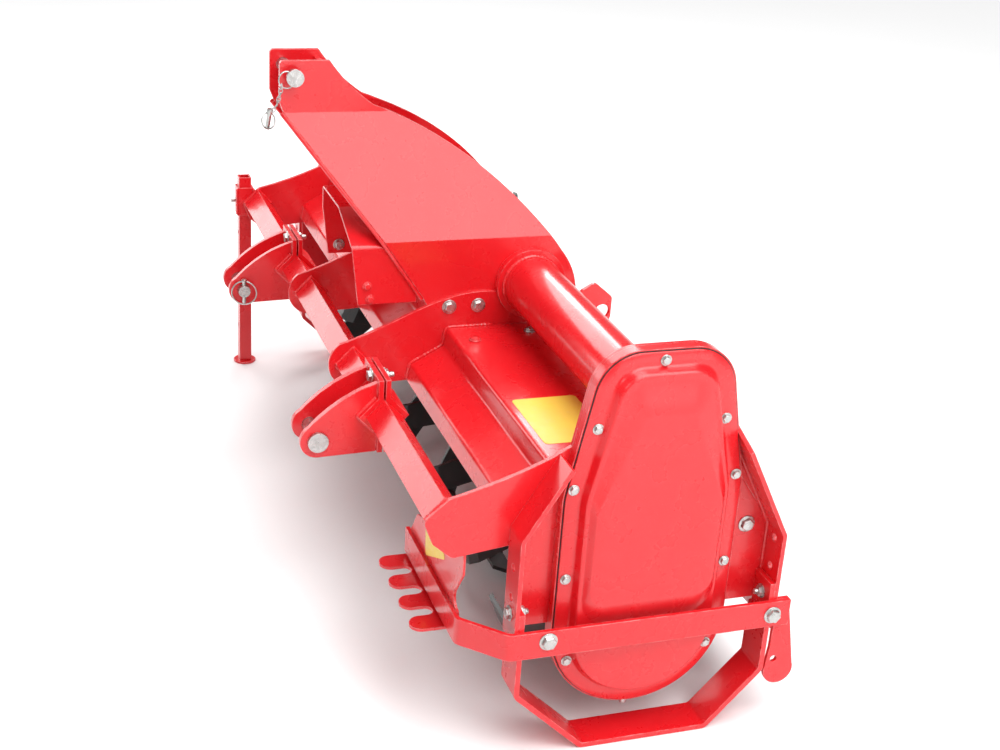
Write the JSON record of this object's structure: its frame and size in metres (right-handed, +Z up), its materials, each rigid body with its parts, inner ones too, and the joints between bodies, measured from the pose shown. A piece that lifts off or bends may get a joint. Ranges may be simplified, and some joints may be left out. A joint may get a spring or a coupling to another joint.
{
  "type": "rotary tiller",
  "caption": "Red tractor-mounted rotary tiller with side drive, bent-plate mast, clamped hitch clevises, tined rotor, hinged rear board, skids and a parking stand.",
  "frame": {"origin": "on the ground, under the middle of the machine", "axes": "+Z up, -Y to the front (the tractor), +X along the rotor to the driven end"},
  "size_m": [1.9138, 0.8388, 1.06],
  "materials": {
    "red_paint": "gloss red paint",
    "dark_paint": "satin black paint",
    "bright_steel": "zinc-plated steel"
  },
  "bodies": {
    "frame": {"axle_tube_left": "red_paint", "axle_tube_right": "red_paint", "bearing_cap": "red_paint", "centre_plate_left": "red_paint", "centre_plate_right": "red_paint", "clamp_backs": "red_paint", "drive_case": "red_paint", "drive_cover": "red_paint", "end_flange_left": "red_paint", "end_flange_right": "red_paint", "end_plate_left": "red_paint", "end_plate_right": "red_paint", "gearbox": "red_paint", "guard_bar": "red_paint", "guard_comb": "red_paint", "guard_panel": "red_paint", "hinge_lugs": "red_paint", "hinge_rod": "bright_steel", "hitch_clevis_left": "red_paint", "hitch_clevis_right": "red_paint", "hitch_pin_left": "bright_steel", "hitch_pin_right": "bright_steel", "hood": "red_paint", "input_shield": "red_paint", "lift_lugs": "red_paint", "mast_plate_left": "red_paint", "mast_plate_right": "red_paint", "mast_tie": "red_paint", "rod_eyes": "red_paint", "skid_ears": "red_paint", "skid_left": "red_paint", "skid_right": "red_paint", "stand_pin": "bright_steel", "stand_sleeve": "red_paint", "toolbar": "red_paint", "top_link_pin": "bright_steel"},
    "rotor": {"rotor_shaft": "dark_paint", "rotor_discs": "dark_paint", "rotor_tines": "dark_paint"},
    "input": {"input_stub": "bright_steel"},
    "stand": {"stand_leg": "red_paint", "stand_foot": "red_paint"},
    "tailboard": {"rear_board": "red_paint", "rod_pins": "bright_steel"},
    "rods": {"board_rods": "bright_steel"}
  },
  "joints": [
    {"name": "rotor_spin", "type": "hinge", "parent": "frame", "child": "rotor", "pos_m": [0, 0.117, 0.232], "axis": [1, 0, 0], "continuous": true},
    {"name": "input_spin", "type": "hinge", "parent": "frame", "child": "input", "pos_m": [0, -0.12, 0.625], "axis": [0, 1, 0], "continuous": true},
    {"name": "stand_slide", "type": "slide", "parent": "frame", "child": "stand", "axis": [0, 0, 1], "range_m": [0, 0.36]},
    {"name": "board_swing", "type": "hinge", "parent": "frame", "child": "tailboard", "pos_m": [0, 0.262, 0.505], "axis": [1, 0, 0], "range_deg": [0, 45]},
    {"name": "rod_swing", "type": "hinge", "parent": "tailboard", "child": "rods", "pos_m": [0, 0.38697, 0.27504], "axis": [1, 0, 0], "range_deg": [-8.16, 0.5]}
  ],
  "couplings": [
    {"joint": "input_spin", "follows": "rotor_spin", "ratio": 2.45},
    {"joint": "rod_swing", "follows": "board_swing", "ratio": -0.1703}
  ]
}
